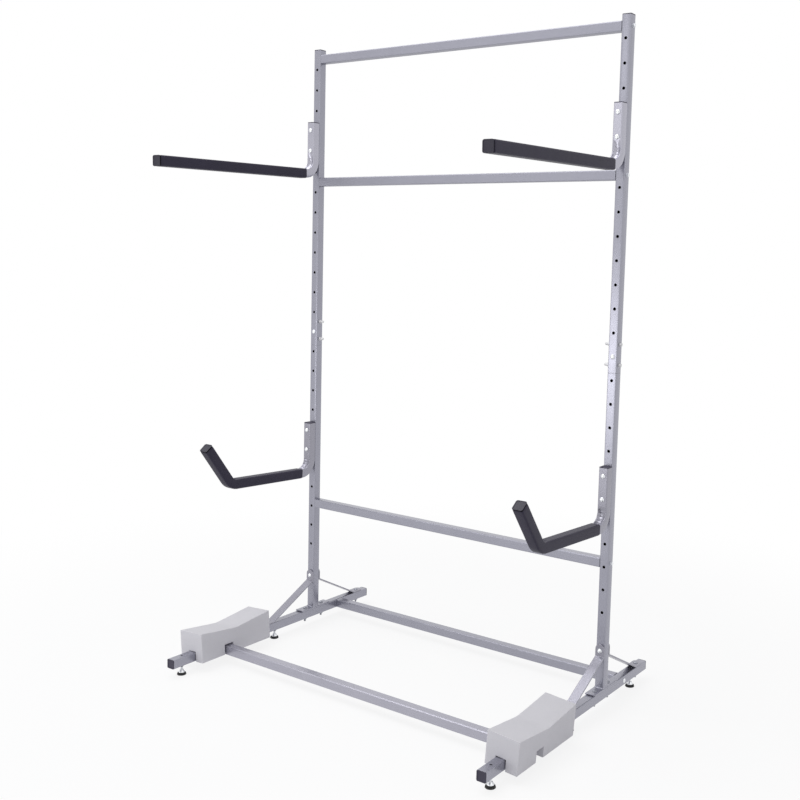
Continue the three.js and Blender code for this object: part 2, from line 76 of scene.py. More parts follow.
# Studio. A pale seamless floor and a white surround, lit by one very large soft lamp high up on
# the left and a weak one on the right. Two softboxes stand where the right post's front face
# mirrors them, and draw the bright stretches along it.
FLOOR_HALF = 14
FLOOR_WHITE = "#F2F2F4"
FLOOR_GLOW = 0.84  # near the stand, so that its soft shadow stays visible
GLOW_NEAR = 1.1
GLOW_FAR = 2.8
WHITE = (1, 1, 1, 1)
SURROUND = 0.5  # as it lights the stand, which mirrors it as white
AIM = Vector((0, 0.2, 1.0))
LAMPS = {  # place, width and height in metres, and power in watts
    "key_lamp": ((-1.5, -1.5, 6.6), (6.0, 6.0), 252),
    "fill_lamp": ((5.0, -0.8, 3.0), (3.0, 3.0), 10),
    "low_softbox": ((-1.85, -4.5, 0.6), (2.5, 0.96), 23),
    "high_softbox": ((-1.75, -4.5, 2.95), (1.0, 1.0), 3.6),
}


def linear(code):
    """The linear colour of an sRGB hex value"""
    parts = (int(code[i:i + 2], 16) / 255 for i in (1, 3, 5))
    return (*(p / 12.92 if p <= 0.04045 else ((p + 0.055) / 1.055) ** 2.4 for p in parts), 1)


def add_node(tree, kind, inputs=None, **settings):
    """Adds a node, sets its options, and links or sets its inputs"""
    node = tree.nodes.new(kind)
    for key, value in settings.items():
        setattr(node, key, value)
    for key, value in (inputs or {}).items():
        if isinstance(value, bpy.types.NodeSocket):
            tree.links.new(value, node.inputs[key])
        else:
            node.inputs[key].default_value = value
    return node


def seen_directly(tree):
    """1 for rays from the camera, and for those that a surface mirrors or lets through"""
    path = add_node(tree, "ShaderNodeLightPath")
    seen = add_node(tree, "ShaderNodeMath", {
        0: path.outputs["Is Camera Ray"], 1: path.outputs["Is Glossy Ray"],
    }, operation="MAXIMUM")
    return add_node(tree, "ShaderNodeMath", {
        0: seen.outputs[0], 1: path.outputs["Is Transmission Ray"],
    }, operation="MAXIMUM").outputs[0]


world = bpy.data.worlds.new("studio_surround")
bpy.context.scene.world = world
world.use_nodes = True
tree = world.node_tree
tree.nodes.clear()
soft = add_node(tree, "ShaderNodeBackground", {"Color": WHITE, "Strength": SURROUND})
white = add_node(tree, "ShaderNodeBackground", {"Color": WHITE, "Strength": 1})
mixed = add_node(tree, "ShaderNodeMixShader", {
    0: seen_directly(tree), 1: soft.outputs[0], 2: white.outputs[0],
})
add_node(tree, "ShaderNodeOutputWorld", {"Surface": mixed.outputs[0]})

paper = bpy.data.materials.new("matt_paper_floor_white")
paper.use_nodes = True
tree = paper.node_tree
tree.nodes.clear()
matt = add_node(tree, "ShaderNodeBsdfDiffuse", {"Color": linear(FLOOR_WHITE)})
glow = add_node(tree, "ShaderNodeEmission", {"Color": WHITE, "Strength": 1})
place = add_node(tree, "ShaderNodeTexCoord").outputs["Object"]
away = add_node(tree, "ShaderNodeVectorMath", {0: place}, operation="LENGTH")
share = add_node(tree, "ShaderNodeMapRange", {
    "Value": away.outputs["Value"], "From Min": GLOW_NEAR, "From Max": GLOW_FAR,
    "To Min": FLOOR_GLOW, "To Max": 1,
}, interpolation_type="SMOOTHSTEP")
lifted = add_node(tree, "ShaderNodeMath", {
    0: seen_directly(tree), 1: share.outputs["Result"],
}, operation="MULTIPLY")
mixed = add_node(tree, "ShaderNodeMixShader", {
    0: lifted.outputs[0], 1: matt.outputs[0], 2: glow.outputs[0],
})
add_node(tree, "ShaderNodeOutputMaterial", {"Surface": mixed.outputs[0]})
floor_mesh = bpy.data.meshes.new("floor")
floor_mesh.from_pydata(
    [(x * FLOOR_HALF, y * FLOOR_HALF, 0) for x, y in ((-1, -1), (1, -1), (1, 1), (-1, 1))],
    [], [(0, 1, 2, 3)],
)
floor_mesh.materials.append(paper)
floor = bpy.data.objects.new("floor", floor_mesh)
bpy.context.scene.collection.objects.link(floor)

for name, (place, size, power) in LAMPS.items():
    lamp = bpy.data.objects.new(name, bpy.data.lights.new(name, "AREA"))
    bpy.context.scene.collection.objects.link(lamp)
    lamp.data.shape = "RECTANGLE"
    lamp.data.size, lamp.data.size_y = size
    lamp.data.energy = power
    lamp.location = place
    lamp.rotation_euler = (AIM - Vector(place)).to_track_quat("-Z", "Y").to_euler()
bpy.context.scene.view_settings.view_transform = "Standard"


# Frame tubes and braces. Cold-formed steel tube 1 1/4 in square and flat bar, drilled, bent and
# powder coated a silver grey: a satin sheen, a faint orange peel, and a tone that drifts a little.
# The coat is nearly matt on the two upper crossbars. Lighter copies of it on the upper arms and
# the front base crossbar are painted light, and a darker copy on the braces and lower arms is
# painted shade.
MM = 0.001
SIDES = {"left": -1, "right": 1}
COAT_METALLIC = 0.7  # metal flakes in a clear binder
COAT_DRIFT = 90 * MM
DRIFT_SPREAD = (0.3, 0.7)  # where nearly all of the noise lies
COAT_PEEL = 3 * MM  # real peel is about 1 mm, drawn coarser so that it shows
PEEL_STRENGTH = 0.03
PEEL_HEIGHT = 0.15 * MM
COAT_EDGE = 1.2 * MM
EDGE_SAMPLES = 16
SATIN = (0.23, 0.29)  # least and greatest roughness
MATT = (0.44, 0.5)


def begun(name):
    """A new material with its node tree, its shader, and a place in the object's own metres"""
    material = bpy.data.materials.new(name)
    material.use_nodes = True
    tree = material.node_tree
    place = add_node(tree, "ShaderNodeTexCoord").outputs["Object"]
    return material, tree, tree.nodes["Principled BSDF"], place


def coated_steel(name, light, dark, roughness=SATIN):
    """Powder coat between two tones, with rounded edges and orange peel"""
    material, tree, surface, place = begun(name)
    surface.inputs["Metallic"].default_value = COAT_METALLIC
    drift = add_node(tree, "ShaderNodeTexNoise", {
        "Vector": place, "Scale": 1 / COAT_DRIFT, "Detail": 4, "Roughness": 0.6,
    })
    tone = add_node(tree, "ShaderNodeMix", {
        "Factor": drift.outputs["Fac"], 6: linear(dark), 7: linear(light),
    }, data_type="RGBA")
    tree.links.new(tone.outputs[2], surface.inputs["Base Color"])
    gloss = add_node(tree, "ShaderNodeMapRange", {
        "Value": drift.outputs["Fac"], "From Min": DRIFT_SPREAD[0], "From Max": DRIFT_SPREAD[1],
        "To Min": roughness[0], "To Max": roughness[1],
    })
    tree.links.new(gloss.outputs[0], surface.inputs["Roughness"])
    rounded = add_node(tree, "ShaderNodeBevel", {"Radius": COAT_EDGE}, samples=EDGE_SAMPLES)
    peel = add_node(tree, "ShaderNodeTexNoise", {
        "Vector": place, "Scale": 1 / COAT_PEEL, "Detail": 2,
    })
    bump = add_node(tree, "ShaderNodeBump", {
        "Height": peel.outputs["Fac"], "Normal": rounded.outputs[0],
        "Strength": PEEL_STRENGTH, "Distance": PEEL_HEIGHT,
    })
    tree.links.new(bump.outputs[0], surface.inputs["Normal"])
    return material


# Besides its matt copy, the coat has lighter copies that are painted light and a darker copy that
# is painted shade.
coat = coated_steel("powder_coated_steel_satin_silver", "#A4A4AF", "#9A9AA6")
bar_painted_lit_coat = coated_steel("powder_coated_steel_satin_silver_painted_lit_bar", "#B3B2BD", "#A9A8B4")
matt_coat = coated_steel("powder_coated_steel_matt_silver", "#A2A2AD", "#9898A4", MATT)
arm_painted_lit_coat = coated_steel("powder_coated_steel_satin_silver_painted_lit_arm", "#B9B8C3", "#AFAEBA")
painted_shade_coat = coated_steel("powder_coated_steel_satin_silver_painted_shade", "#A09FAA", "#96959F")
FINISHES = {
    "top_crossbar": matt_coat, "upper_crossbar": matt_coat, "lower_crossbar": coat,
    "base_front_crossbar": bar_painted_lit_coat, "base_rear_crossbar": coat,
    **{f"{side}_foot_tube": coat for side in SIDES},
    **{f"{side}_{end}_brace": painted_shade_coat for side in SIDES for end in ("front", "rear")},
}
for name, finish in FINISHES.items():
    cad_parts[name].data.materials[0] = finish


# Posts. Each is two lengths of the same tube, with a row of 10 mm holes punched through front and
# back. The upper one slips over a short spigot in the lower one, which is welded to a channel that
# sits on the foot tube. The bore, the holes' edges and the spigot are bare steel coloured near
# black, as painted shade for the dark inside of the tube.
TUBE = 31.75
WALL = 2
TUBE_CORNER = 3
HOLE = 10
HOLE_COUNT = 25
HOLE_PITCH = 76.2
TOP_HOLE = 2155.3
HOLE_FACETS = 28
ROUND_FACETS = 32
BORE_DEPTH = 0.6  # of the wall's thickness: faces deeper than this are in the bore
EDGE_DEPTH = 0.2  # and those deeper than this, within a hole's width, are its edge
SPIGOT_SIDE = 27.15
SPIGOT_BOTTOM = 1052.5
SPIGOT_TOP = 1224.3
SPLICE_GAP = 0.3
PLATE_HALF = 78
PLATE_TOP = 71.95
PLATE_SUNK = 0.2  # how far the post's foot goes into the channel
PLATE_OUTLINE = [  # the channel's section, as (x, z)
    (-18, 66.75), (-12, 66.75), (-12, 68.55), (12, 68.55), (12, 66.75), (18, 66.75),
    (18, 70.45), (17.55, 71.5), (16.5, PLATE_TOP), (-16.5, PLATE_TOP), (-17.55, 71.5), (-18, 70.45),
]


def square_ring(side, radius, arc=6, flats=(1, 1, 1, 1)):
    """Points of a rounded square, whose straight sides +y, -x, -y and +x are cut into pieces"""
    reach = side / 2 - radius
    corners = [(1, 1), (-1, 1), (-1, -1), (1, -1)]
    points = []
    for quarter, (x, y) in enumerate(corners):
        for step in range(arc + 1):
            angle = (quarter + step / arc) * math.pi / 2
            points.append(
                (x * reach + radius * math.cos(angle), y * reach + radius * math.sin(angle))
            )
        after = corners[(quarter + 1) % 4]
        for step in range(1, flats[quarter]):
            share = step / flats[quarter]
            points.append((
                (x + (after[0] - x) * share) * reach + radius * math.cos(angle),
                (y + (after[1] - y) * share) * reach + radius * math.sin(angle),
            ))
    return points


def round_ring(radius, z, count=ROUND_FACETS):
    """Points of a circle at a height"""
    return [
        (radius * math.cos(2 * math.pi * i / count), radius * math.sin(2 * math.pi * i / count), z)
        for i in range(count)
    ]


def loft(rings, closed=False):
    """Skin over rings with equal numbers of points: a tube with filled ends, or a closed loop"""
    mesh = bmesh.new()
    rows = [[mesh.verts.new(Vector(point) * MM) for point in ring] for ring in rings]
    count = len(rows[0])
    pairs = list(zip(rows, rows[1:]))
    if closed:
        pairs.append((rows[-1], rows[0]))
    for low, high in pairs:
        for i in range(count):
            j = (i + 1) % count
            mesh.faces.new((low[i], low[j], high[j], high[i]))
    if not closed:
        mesh.faces.new(reversed(rows[0]))
        mesh.faces.new(rows[-1])
    bmesh.ops.recalc_face_normals(mesh, faces=mesh.faces)
    return mesh


def joined(meshes):
    """One mesh out of several"""
    whole = bmesh.new()
    for mesh in meshes:
        data = bpy.data.meshes.new("part")
        mesh.to_mesh(data)
        mesh.free()
        whole.from_mesh(data)
        bpy.data.meshes.remove(data)
    return whole


def temporary(mesh):
    """An object that lives only while a mesh is being made"""
    data = bpy.data.meshes.new("temporary")
    mesh.to_mesh(data)
    mesh.free()
    made = bpy.data.objects.new("temporary", data)
    bpy.context.scene.collection.objects.link(made)
    return made


def finished(made, *steps):
    """Applies modifiers, each given as its kind and settings, and returns the mesh"""
    for kind, settings in steps:
        modifier = made.modifiers.new(kind.lower(), kind)
        for key, value in settings.items():
            setattr(modifier, key, value)
    evaluated = made.evaluated_get(bpy.context.evaluated_depsgraph_get())
    mesh = bmesh.new()
    mesh.from_mesh(evaluated.to_mesh())
    return mesh


def discard(*objects):
    """Removes temporary objects"""
    for made in objects:
        bpy.data.objects.remove(made)


def piece(name, body, material, mesh, where=None, stands_for=(), sharp=35):
    """Turns a mesh into a finished piece that rides on a body"""
    if where is not None:
        mesh.transform(where)
    data = bpy.data.meshes.new(name)
    mesh.to_mesh(data)
    mesh.free()
    data.materials.append(material)
    data.shade_smooth()
    data.set_sharp_from_angle(angle=math.radians(sharp))
    made = bpy.data.objects.new(name, data)
    bpy.context.scene.collection.objects.link(made)
    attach(made, body)
    if stands_for:
        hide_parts(*stands_for)
    return made


def darkened(made, axis_at):
    """Gives the faces inside a post and its holes near-black painted shade, for the dark inside of
    the tube
    """
    made.data.materials.append(bore_painted_shade)
    for face in made.data.polygons:
        off = (face.center - axis_at) / MM
        in_bore = max(abs(off.x), abs(off.y)) < TUBE / 2 - BORE_DEPTH * WALL
        in_hole = abs(off.x) < HOLE / 2 and abs(off.y) < TUBE / 2 - EDGE_DEPTH * WALL
        if in_bore or in_hole:
            face.material_index = 1


def centre_of(node):
    """Middle of a CAD node's box, in metres"""
    low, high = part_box(node)
    return (low + high) / 2


def punched(low, high, side=TUBE):
    """Square tube between two heights, with the post's adjustment holes through front and back"""
    outer = square_ring(side, TUBE_CORNER, arc=4)
    inner = square_ring(side - 2 * WALL, TUBE_CORNER - WALL, arc=4)
    tube = temporary(loft([
        [(x, y, z) for x, y in ring]
        for ring, z in ((outer, low), (outer, high), (inner, high), (inner, low))
    ], closed=True))
    heights = (TOP_HOLE - HOLE_PITCH * i for i in range(HOLE_COUNT))
    lying = Matrix.Rotation(math.pi / 2, 4, "X")
    punches = []
    for z in heights:
        if low < z < high:
            punch = loft([round_ring(HOLE / 2, d, HOLE_FACETS) for d in (-TUBE, TUBE)])
            punch.transform(Matrix.Translation((0, 0, z * MM)) @ lying)
            punches.append(punch)
    cutter = temporary(joined(punches))
    mesh = finished(tube, ("BOOLEAN", {"object": cutter, "solver": "EXACT"}))
    discard(tube, cutter)
    return mesh


# Bare steel coloured near black: painted shade for the dark inside of the post, its holes' edges
# and its spigot, drifting a little in tone.
bore_painted_shade, tree, surface, place = begun("bare_steel_painted_bore_shade")
surface.inputs["Metallic"].default_value = 0.3
surface.inputs["Roughness"].default_value = 0.8
patches = add_node(tree, "ShaderNodeTexNoise", {
    "Vector": place, "Scale": 1 / COAT_DRIFT, "Detail": 3,
})
tone = add_node(tree, "ShaderNodeMix", {
    "Factor": patches.outputs["Fac"], 6: linear("#1C1C1F"), 7: linear("#28282B"),
}, data_type="RGBA")
tree.links.new(tone.outputs[2], surface.inputs["Base Color"])

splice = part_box("left_post_upper")[0].z / MM
for side in SIDES:
    foot = centre_of(f"{side}_post_upper")
    foot.z = 0
    upright = Matrix.Translation(foot)
    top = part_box(f"{side}_post_upper")[1].z / MM
    upper = piece(
        f"{side}_upper_post_tube", "frame", coat, punched(splice, top), upright,
        stands_for=(f"{side}_post_upper",), sharp=15,
    )
    lower = piece(
        f"{side}_lower_post_tube", "frame", coat,
        punched(PLATE_TOP - PLATE_SUNK, splice - SPLICE_GAP), upright,
        stands_for=(f"{side}_post_lower",), sharp=15,
    )
    piece(
        f"{side}_post_spigot", "frame", bore_painted_shade,
        punched(SPIGOT_BOTTOM, SPIGOT_TOP, SPIGOT_SIDE), upright, sharp=15,
    )
    for made in (upper, lower):
        darkened(made, foot)
    piece(
        f"{side}_post_base_channel", "frame", coat,
        loft([[(x, y, z) for x, z in PLATE_OUTLINE] for y in (-PLATE_HALF, PLATE_HALF)]),
        upright, sharp=15,
    )


# Weld beads at the foot of each post, where it stands on its base channel. Gas-shielded weld laid
# in short ripples round the tube, and coated over with it.
BEAD = 2.6
BEAD_RIPPLE = 2.4
BEAD_STEPS = 240
BEAD_ARC = 10  # steps round a corner of the tube
BEAD_FACETS = 6  # from the plate up to the tube
RIPPLE_SWELL = 0.14  # shares of the bead's size
UNEVEN_SWELL = 0.12
UNEVEN_PER_MM = 0.2
BEAD_FULLNESS = 0.8  # 1 would be a hollow quarter round
BEAD_ROOT = 0.5  # below the plate's top, and the bead's back is 1 mm inside the tube's face

path = square_ring(TUBE, TUBE_CORNER, BEAD_ARC, [BEAD_STEPS // 4 - BEAD_ARC] * 4)
for side, sign in SIDES.items():
    foot = centre_of(f"{side}_post_upper")
    rings = []
    for i, (x, y) in enumerate(path):
        ripple = math.sin(i * 2 * math.pi * 4 * TUBE / BEAD_RIPPLE / len(path))
        swell = BEAD * (1 + RIPPLE_SWELL * ripple)
        swell *= 1 + UNEVEN_SWELL * noise.noise(Vector((x, y, sign)) * UNEVEN_PER_MM)
        out = Vector((x, y)).normalized()
        ring = []
        for step in range(BEAD_FACETS + 1):
            angle = math.pi / 2 * step / BEAD_FACETS
            far = swell * (1 - math.sin(angle)) ** BEAD_FULLNESS
            rise = swell * (1 - math.cos(angle)) ** BEAD_FULLNESS
            ring.append((x + out.x * far, y + out.y * far, PLATE_TOP + rise))
        ring.append((x - out.x, y - out.y, PLATE_TOP + swell))
        ring.append((x - out.x, y - out.y, PLATE_TOP - BEAD_ROOT))
        rings.append(ring)
    piece(
        f"{side}_post_foot_weld", "frame", coat, loft(rings, closed=True),
        Matrix.Translation((foot.x, foot.y, 0)), sharp=60,
    )


# Arms. The same tube bent to a right angle below its two bolts, and the lower pair bent up again
# into a hook. The bender crushes the inner wall of each bend into a long wrinkled trough. The
# upper pair's coat is lighter than the posts' as painted light, the lower pair's darker as painted
# shade.
UPPER_ABOVE_BOLT = 31.3
LOWER_ABOVE_BOLT = 29
ARM_BEND = 50
HOOK_BEND = 50
UPPER_DROP = 161.5
LOWER_DROP = 166.8
UPPER_REACH = 767
LOWER_REACH = 444
UPPER_RISE = -1.15
LOWER_RISE = 2.46
HOOK_ANGLE = 52.7
HOOK_LENGTH = 185
ARM_GAP = 0.3
CAP_THICK = 2.8
UPPER_TROUGH = (8.5, 32, 0.5)  # depth, start above the bend, height of its wrinkles
LOWER_TROUGH = (6, 15, 1.1)
TROUGH_TRAIL = 6
TROUGH_TAPER = 1.2  # the trough is the tube's width divided by this
CRUSH_FULLNESS = 0.8
RIPPLE_LENGTH = 14
RIPPLE_SHIFT = 0.2  # of a wrinkle, one way on the left and the other on the right
SIDE_BULGE = 0.9
SIDE_SHARE = 0.95  # a point further out than this share of the half width is on a side
ARC_STEPS = 5
ARM_FLATS = (12, 4, 1, 4)  # pieces along each side, most of them across the trough
STATION = 3
BORE_STEP = 3
ARMS = {
    "upper": (False, TOP_HOLE - 3 * HOLE_PITCH), "lower": (True, TOP_HOLE - 18 * HOLE_PITCH),
}


def heading(degrees):
    """Direction (y, z) towards the front and up by an angle"""
    angle = math.radians(degrees)
    return Vector((-math.cos(angle), math.sin(angle)))


def arm_corners(hooked):
    """Corners of the arm's centre line as (y, z) from the post's middle and the top bolt"""
    leg = -(TUBE + ARM_GAP)
    above = LOWER_ABOVE_BOLT if hooked else UPPER_ABOVE_BOLT
    top = Vector((leg, above - CAP_THICK - ARM_GAP))
    elbow = Vector((leg, -(LOWER_DROP if hooked else UPPER_DROP)))
    rise = heading(LOWER_RISE if hooked else UPPER_RISE)
    reach = LOWER_REACH if hooked else UPPER_REACH
    far = elbow + rise * (reach + leg) / -rise.x
    if not hooked:
        return [top, elbow, far]
    return [top, elbow, far, far + heading(HOOK_ANGLE) * HOOK_LENGTH]


def bent_line(corners, radii):
    """Stations (point, direction) along runs and bends, and the station numbers of each bend"""
    runs = [(b - a).normalized() for a, b in zip(corners, corners[1:])]
    line, bends, start = [], [], corners[0]
    for corner, before, after, radius in zip(corners[1:], runs, runs[1:], radii):
        angle = math.acos(before.dot(after))
        end = corner - before * radius * math.tan(angle / 2)
        count = round((end - start).length / STATION)
        line += [(start.lerp(end, i / count), before) for i in range(count)]
        centre = end + Vector((before.y, -before.x)) * radius
        count = round(radius * angle / STATION)
        bends.append((len(line), len(line) + count))
        for i in range(count):
            along = before.copy()
            along.rotate(Matrix.Rotation(-angle * i / count, 2))
            line.append((centre - Vector((along.y, -along.x)) * radius, along))
        start = corner + after * radius * math.tan(angle / 2)
    count = round((corners[-1] - start).length / STATION)
    line += [(start.lerp(corners[-1], i / count), runs[-1]) for i in range(count + 1)]
    return line, bends


def crush(i, bends, lead, trail):
    """How much of the full crush a station has, from 0 to 1"""
    weight = 0
    for first, last in bends:
        low, high = first - lead / STATION, last + trail / STATION
        share = (i - low) / (high - low)
        if 0 < share < 1:
            weight = max(weight, math.sin(math.pi * share) ** CRUSH_FULLNESS)
    return weight


def across_line(ring, point, along, weight=0.0, depth=0.0, bulge=0.0, ripple=0.0):
    """A ring of points set square across the line in YZ, its inner side crushed"""
    half = max(x for x, y in ring)
    inward = Vector((along.y, -along.x))
    placed = []
    for x, y in ring:
        if y > half * SIDE_SHARE:
            y -= (depth * weight + ripple) * max(0, 1 - (TROUGH_TAPER * x / half) ** 2)
        if abs(x) > half * SIDE_SHARE:
            x += math.copysign(bulge * weight * (1 - (y / half) ** 2), x)
        placed.append((x, point.x + inward.x * y, point.y + inward.y * y))
    return placed


def arm_line(hooked):
    """Stations and bends of the arm's tube, which ends just short of its tip cap"""
    corners = arm_corners(hooked)
    back = (corners[-2] - corners[-1]).normalized()
    corners[-1] = corners[-1] + back * (CAP_THICK + ARM_GAP)
    return bent_line(corners, (ARM_BEND, HOOK_BEND))


def arm_place(sign, bolt_height):
    """From the arm's own millimetres to its place on a post"""
    return Matrix.Translation(Vector((-sign * post_middle.x, post_middle.y, bolt_height)) * MM)


def arm_mesh(hooked, sign):
    """Hollow tube skin whose inner side is crushed at the bends"""
    line, bends = arm_line(hooked)
    outer = square_ring(TUBE, TUBE_CORNER, ARC_STEPS, ARM_FLATS)
    inner = square_ring(TUBE - 2 * WALL, TUBE_CORNER - WALL, ARC_STEPS, ARM_FLATS)
    depth, lead, wrinkle = LOWER_TROUGH if hooked else UPPER_TROUGH

    def crushed(ring, i):
        point, along = line[i]
        weight = crush(i, bends, lead, TROUGH_TRAIL)
        wave = math.cos(2 * math.pi * (i * STATION / RIPPLE_LENGTH + RIPPLE_SHIFT * sign))
        ripple = wrinkle * weight * wave
        return across_line(ring, point, along, weight, depth, SIDE_BULGE, ripple)

    last = len(line) - 1
    rings = [crushed(outer, i) for i in range(last + 1)]
    rings += [
        crushed(inner, i) for i in (last, *range(last - BORE_STEP, BORE_STEP, -BORE_STEP), 0)
    ]
    return loft(rings, closed=True)


post_middle = centre_of("left_post_upper") / MM
for side, sign in SIDES.items():
    for level, (hooked, bolt_height) in ARMS.items():
        piece(
            f"{side}_{level}_bent_arm", "frame", painted_shade_coat if hooked else arm_painted_lit_coat,
            arm_mesh(hooked, sign), arm_place(sign, bolt_height),
            stands_for=(f"{side}_{level}_arm",), sharp=28,
        )


# Cradle blocks. Light grey closed-cell polyethylene foam, hot-wire cut to a shallow dip for the
# boat's belly, with one slot that straddles the foot tube and one for the front crossbar. Each
# rests on the tube, loose, and tips outward as far as its slot lets it. Cut cells make it dull.
FOAM_LIGHT = "#D7D6DC"
FOAM_DARK = "#CAC9CF"
FOAM_CELL = 2.2 * MM  # real cells are about 1 mm, drawn coarser so that they show
FOAM_DRIFT = 60 * MM
FOOT_MIDDLE = 50.575
BLOCK_LEAN = math.radians(4.3)
BLOCK_OUTSET = 2.8
BLOCK_HALF_WIDTH = 54.5
BLOCK_BOTTOM = 32
BLOCK_TOP = 134
DIP = 18.5
DIP_ROUND = 14
SLOT_ROOF = 67.675
SLOT_HALF = 17.6
CROSS_SLOT_HALF = 20.275
CUTTER_SPARE = 9
DIP_STEPS = 6
BLOCK_EDGE = 0.8
GRID = 7
WAVE = 0.5  # how far the cut faces stray from flat
LONG_WAVE_PER_MM = 0.025
SHORT_WAVE_PER_MM = 0.09
SHORT_WAVE = 0.3  # of the long one's height

foam, tree, surface, place = begun("polyethylene_foam_cut_light_grey")
surface.inputs["Roughness"].default_value = 0.92
surface.inputs["Specular IOR Level"].default_value = 0.25
surface.inputs["Sheen Weight"].default_value = 0.05
drift = add_node(tree, "ShaderNodeTexNoise", {
    "Vector": place, "Scale": 1 / FOAM_DRIFT, "Detail": 5, "Roughness": 0.65,
})
cells = add_node(tree, "ShaderNodeTexVoronoi", {
    "Vector": place, "Scale": 1 / FOAM_CELL, "Randomness": 1,
})
speckle = add_node(tree, "ShaderNodeMath", {
    0: cells.outputs["Distance"], 1: drift.outputs["Fac"],
}, operation="MULTIPLY")
tone = add_node(tree, "ShaderNodeMix", {
    "Factor": speckle.outputs[0], 6: linear(FOAM_LIGHT), 7: linear(FOAM_DARK),
}, data_type="RGBA")
tree.links.new(tone.outputs[2], surface.inputs["Base Color"])
bump = add_node(tree, "ShaderNodeBump", {
    "Height": cells.outputs["Distance"], "Strength": 0.25, "Distance": 0.3 * MM,
})
tree.links.new(bump.outputs[0], surface.inputs["Normal"])


def box_mesh(low, high):
    """Block between two corners, in millimetres"""
    mesh = bmesh.new()
    bmesh.ops.create_cube(mesh, size=1)
    low, high = Vector(low) * MM, Vector(high) * MM
    size = high - low
    mesh.transform(Matrix.Translation((low + high) / 2) @ Matrix.Diagonal((*size, 1)))
    return mesh


def dip_height(off, half_length):
    """Top of the block at a distance from its middle: two slopes, rounded where they meet"""
    slope = DIP / half_length
    if off >= DIP_ROUND:
        return BLOCK_TOP - DIP + slope * off
    return BLOCK_TOP - DIP + slope * (DIP_ROUND / 2 + off * off / (2 * DIP_ROUND))


def gridded(mesh, spacing):
    """Cuts every face along a grid, so that noise can move it"""
    for axis in range(3):
        normal = Vector([float(i == axis) for i in range(3)])
        low = min(vert.co[axis] for vert in mesh.verts)
        high = max(vert.co[axis] for vert in mesh.verts)
        count = round((high - low) / spacing)
        for i in range(1, count):
            spot = normal * (low + (high - low) * i / count)
            everything = mesh.verts[:] + mesh.edges[:] + mesh.faces[:]
            bmesh.ops.bisect_plane(mesh, geom=everything, plane_co=spot, plane_no=normal)


cross = centre_of("base_front_crossbar").y / MM
for side, sign in SIDES.items():
    node = f"{side}_foam_block"
    front, rear = (corner.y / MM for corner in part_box(node))
    half_length = (rear - front) / 2
    middle = (front + rear) / 2
    bottom = BLOCK_BOTTOM - FOOT_MIDDLE
    offsets = [half_length, *(DIP_ROUND * i / DIP_STEPS for i in range(DIP_STEPS, 0, -1)), 0]
    top = [(middle + off, dip_height(off, half_length) - FOOT_MIDDLE) for off in offsets]
    top += [(2 * middle - y, z) for y, z in reversed(top[:-1])]
    outline = [(front, bottom), (rear, bottom), *top]
    outset = sign * BLOCK_OUTSET
    body = temporary(loft([
        [(x, y, z) for y, z in outline]
        for x in (outset - BLOCK_HALF_WIDTH, outset + BLOCK_HALF_WIDTH)
    ]))
    roof = SLOT_ROOF - FOOT_MIDDLE
    slot = temporary(box_mesh(
        (-SLOT_HALF, front - CUTTER_SPARE, bottom - CUTTER_SPARE),
        (SLOT_HALF, rear + CUTTER_SPARE, roof),
    ))
    cross_slot = temporary(box_mesh(
        (-2 * BLOCK_HALF_WIDTH, cross - CROSS_SLOT_HALF, bottom - CUTTER_SPARE),
        (2 * BLOCK_HALF_WIDTH, cross + CROSS_SLOT_HALF, roof),
    ))
    mesh = finished(
        body,
        ("BOOLEAN", {"object": slot, "solver": "EXACT"}),
        ("BOOLEAN", {"object": cross_slot, "solver": "EXACT"}),
        ("BEVEL", {
            "width": BLOCK_EDGE * MM, "segments": 3, "limit_method": "ANGLE",
            "angle_limit": math.radians(40),
        }),
    )
    discard(body, slot, cross_slot)
    gridded(mesh, GRID * MM)
    mesh.normal_update()
    for vert in mesh.verts:
        spot = vert.co / MM
        shift = noise.noise(spot * LONG_WAVE_PER_MM)
        shift += SHORT_WAVE * noise.noise(spot * SHORT_WAVE_PER_MM)
        vert.co += vert.normal * shift * WAVE * MM
    tube = centre_of(f"{side}_foot_tube").x
    made = piece(
        f"{side}_cradle_block", f"{side}_cradle", foam, mesh,
        Matrix.Translation((tube, 0, FOOT_MIDDLE * MM))
        @ Matrix.Rotation(sign * BLOCK_LEAN, 4, "Y"),
        stands_for=(node,), sharp=24,
    )


# Arm sleeves. Charcoal closed-cell foam tube with a smooth skin, pushed over each arm up to the
# bend. It keeps the tube's square shape, with softer corners and rounded cut ends, sags a little
# into the crushed inner side of the hook's bend, and ends just short of the tip cap.
SLEEVE_LIGHT = "#302C3F"
SLEEVE_DARK = "#262334"
SLEEVE_GRAIN = 1.6 * MM  # real grain is about 0.5 mm, drawn coarser so that it shows
SLEEVE_SIDE = 35.75
SLEEVE_CORNER = 5.6
SLEEVE_BORE = 32.35
SLEEVE_START = 2
SLEEVE_STEP = 2
SLEEVE_SAG = 3.4
SLEEVE_WAVE = 0.22
SLEEVE_WAVE_PER_MM = 0.04
SLEEVE_FLATS = (12, 3, 2, 3)
SLEEVE_END = 3  # stations that the rounded end takes up
TIP_GROOVE = 2.6  # between the sleeve's end and the tip cap's flange
CUT_END = [  # depth from the end, and how far the skin is drawn in there
    (0, 1.65), (0.3, 1.2), (0.9, 0.75), (2.2, 0.35), (5, 0.08),
]

